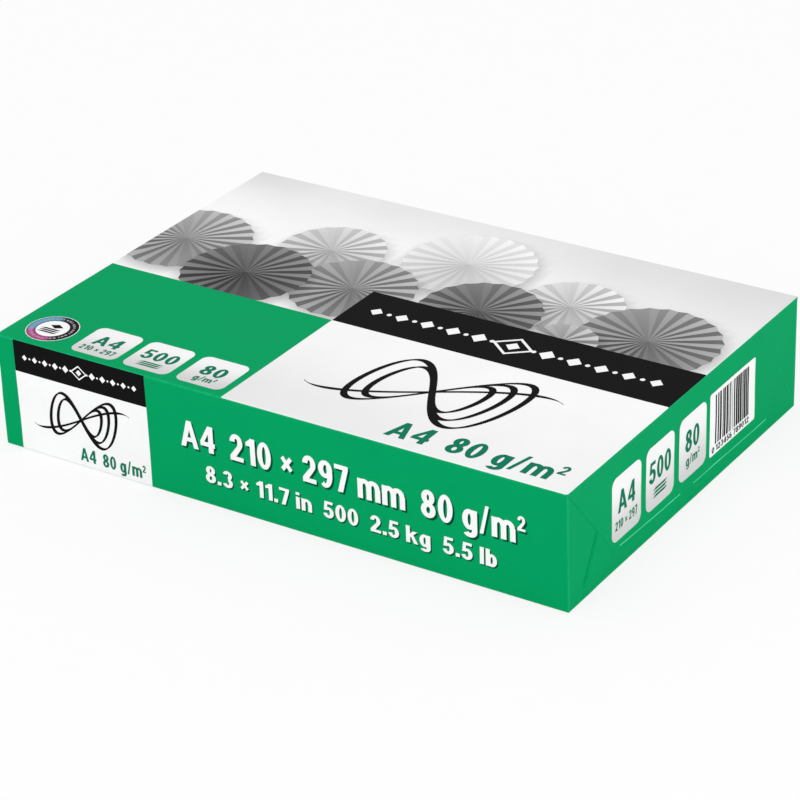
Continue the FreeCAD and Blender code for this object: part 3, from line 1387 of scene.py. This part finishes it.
class REAM_OT_end_print(bpy.types.Operator):
    """Prints the right end, with three badges and the bars, and the pale cut edge of both ends' flaps with
    its painted highlight
    """

    bl_idname = "ream.end_print"
    bl_label = "Print on the ends"

    def execute(self, context):
        print_badges(RIGHT_END, "end", END_BADGES, top=12.5, height=30.9, baseline=30.6, number_height=10.6)
        panel = rounded_rectangle(left=125.4, top=12.4, width=43.4, height=31.5, radius=1.2)
        lay_on(RIGHT_END, [panel], "bar_panel", "white_ink", PLATE_LIFT)
        lay_on(RIGHT_END, upright_bars(left=130.5, top=14.4, width=32.5, height=24.6),
               "bars", "black_ink")
        lay_on(RIGHT_END, letters("0 123456 789012", left=127.6, right=163.0, baseline=42.8, height=3.0),
               "bar_numbers", "black_ink")
        # The pale cut edges of the flaps, with their painted highlight
        for name, side in (("flap_edge_right", RIGHT_END), ("flap_edge_left", LEFT_END)):
            lay_on(side, cut_edge_and_highlight(side), name, "cut_paper_and_highlight", PLATE_LIFT)
        return {"FINISHED"}


# The stage

# Half the floor's side, in metres, the scale and the brightness of its grain, and how much of what the camera
# sees of it is light of its own
FLOOR_HALF = 3.0
FLOOR_GRAIN = 60.0
FLOOR_SHADES = (0.93, 0.95)
FLOOR_GLOW = 0.8


def floor_material():
    """A white floor that keeps the ream's shadow: what the camera sees of it is mostly light of its own."""
    nodes = Nodes("stage_floor")
    grain = nodes.remap(nodes.pattern(FLOOR_GRAIN, detail=3.0), *FLOOR_SHADES)
    nodes.set(nodes.shader.inputs["Base Color"], nodes.grey(grain))
    nodes.shader.inputs["Roughness"].default_value = 0.9
    nodes.shader.inputs["Specular IOR Level"].default_value = 0.0
    glow = nodes.add("ShaderNodeEmission", {"Color": (1, 1, 1, 1), "Strength": 1.0})
    seen = nodes.add("ShaderNodeLightPath").outputs["Is Camera Ray"]
    blend = nodes.add("ShaderNodeMixShader", {
        0: nodes.calculate("MULTIPLY", seen, FLOOR_GLOW),
        1: nodes.shader.outputs[0],
        2: glow.outputs[0],
    })
    output = next(node for node in nodes.tree.nodes if node.type == "OUTPUT_MATERIAL")
    nodes.set(output.inputs["Surface"], blend.outputs[0])
    return nodes.material


def add_floor():
    sheet = bmesh.new()
    bmesh.ops.create_grid(sheet, x_segments=8, y_segments=8, size=FLOOR_HALF)
    data = bpy.data.meshes.new("floor")
    sheet.to_mesh(data)
    sheet.free()
    floor = bpy.data.objects.new("floor", data)
    data.materials.append(floor_material())
    bpy.context.scene.collection.objects.link(floor)


def add_world(strength):
    """Even light from all round, which the camera and glossy surfaces see as white."""
    world = bpy.data.worlds.new("studio")
    world.use_nodes = True
    tree = world.node_tree
    tree.nodes.clear()
    path = tree.nodes.new("ShaderNodeLightPath")
    seen = tree.nodes.new("ShaderNodeMath")
    seen.operation = "MAXIMUM"
    tree.links.new(path.outputs["Is Camera Ray"], seen.inputs[0])
    tree.links.new(path.outputs["Is Glossy Ray"], seen.inputs[1])
    level = tree.nodes.new("ShaderNodeMapRange")
    level.inputs["To Min"].default_value = strength
    level.inputs["To Max"].default_value = 1.0
    tree.links.new(seen.outputs[0], level.inputs["Value"])
    background = tree.nodes.new("ShaderNodeBackground")
    background.inputs["Color"].default_value = (1, 1, 1, 1)
    tree.links.new(level.outputs["Result"], background.inputs["Strength"])
    output = tree.nodes.new("ShaderNodeOutputWorld")
    tree.links.new(background.outputs[0], output.inputs["Surface"])
    bpy.context.scene.world = world


def add_lamp(name, place, size, power):
    data = bpy.data.lights.new(name, "AREA")
    data.shape = "DISK"
    data.size = size
    data.energy = power
    lamp = bpy.data.objects.new(name, data)
    lamp.location = place
    lamp.rotation_mode = "QUATERNION"
    lamp.rotation_quaternion = (MIDDLE - Vector(place)).to_track_quat("-Z", "Y")
    bpy.context.scene.collection.objects.link(lamp)


def add_camera(settings):
    data = bpy.data.cameras.new("camera")
    data.sensor_width = 36.0
    data.lens = settings.lens
    camera = bpy.data.objects.new("camera", data)
    toward = Vector((
        math.cos(settings.elevation) * math.sin(settings.azimuth),
        -math.cos(settings.elevation) * math.cos(settings.azimuth),
        math.sin(settings.elevation),
    ))
    camera.location = Vector(settings.aim) + settings.distance * toward
    camera.rotation_mode = "QUATERNION"
    camera.rotation_quaternion = (-toward).to_track_quat("-Z", "Y") @ Quaternion((0, 0, 1), settings.roll)
    bpy.context.scene.collection.objects.link(camera)
    bpy.context.scene.camera = camera


class REAM_OT_stage(bpy.types.Operator):
    """Sets the pale floor, the soft light and the camera"""

    bl_idname = "ream.stage"
    bl_label = "Stage"

    def execute(self, context):
        settings = stage_settings()
        add_floor()
        add_world(settings.sky)
        add_lamp("lamp_front", place=(-0.6, -1.4, 0.8), size=1.2, power=settings.key)
        add_lamp("lamp_right", place=(1.5, -0.4, 0.7), size=1.0, power=settings.fill)
        add_camera(settings)
        bpy.context.scene.view_settings.view_transform = "Standard"
        return {"FINISHED"}


class REAM_PT_panel(bpy.types.Panel):
    """Lists the steps of the ream and what a user would change"""

    bl_idname = "REAM_PT_panel"
    bl_label = "Wrapped ream of paper"
    bl_space_type = "VIEW_3D"
    bl_region_type = "UI"
    bl_category = "Ream"

    def draw(self, context):
        for operator in OPERATORS:
            self.layout.operator(operator.bl_idname)
        for settings in (wrapper_settings(), print_settings(), stage_settings()):
            group = self.layout.box()
            for name in settings.bl_rna.properties.keys():
                if name not in ("rna_type", "name"):
                    group.prop(settings, name)


OPERATORS = (REAM_OT_wrapper, REAM_OT_top_print, REAM_OT_front_print, REAM_OT_end_print, REAM_OT_stage)
CLASSES = (WrapperSettings, PrintSettings, StageSettings, *OPERATORS, REAM_PT_panel)


def register():
    for each in CLASSES:
        bpy.utils.register_class(each)
    bpy.types.Scene.ream_wrapper = PointerProperty(type=WrapperSettings)
    bpy.types.Scene.ream_print = PointerProperty(type=PrintSettings)
    bpy.types.Scene.ream_stage = PointerProperty(type=StageSettings)


def unregister():
    del bpy.types.Scene.ream_wrapper
    del bpy.types.Scene.ream_print
    del bpy.types.Scene.ream_stage
    for each in reversed(CLASSES):
        bpy.utils.unregister_class(each)


def main():
    register()
    bpy.ops.ream.wrapper()
    bpy.ops.ream.top_print()
    bpy.ops.ream.front_print()
    bpy.ops.ream.end_print()
    bpy.ops.ream.stage()


if __name__ == "__main__":
    main()
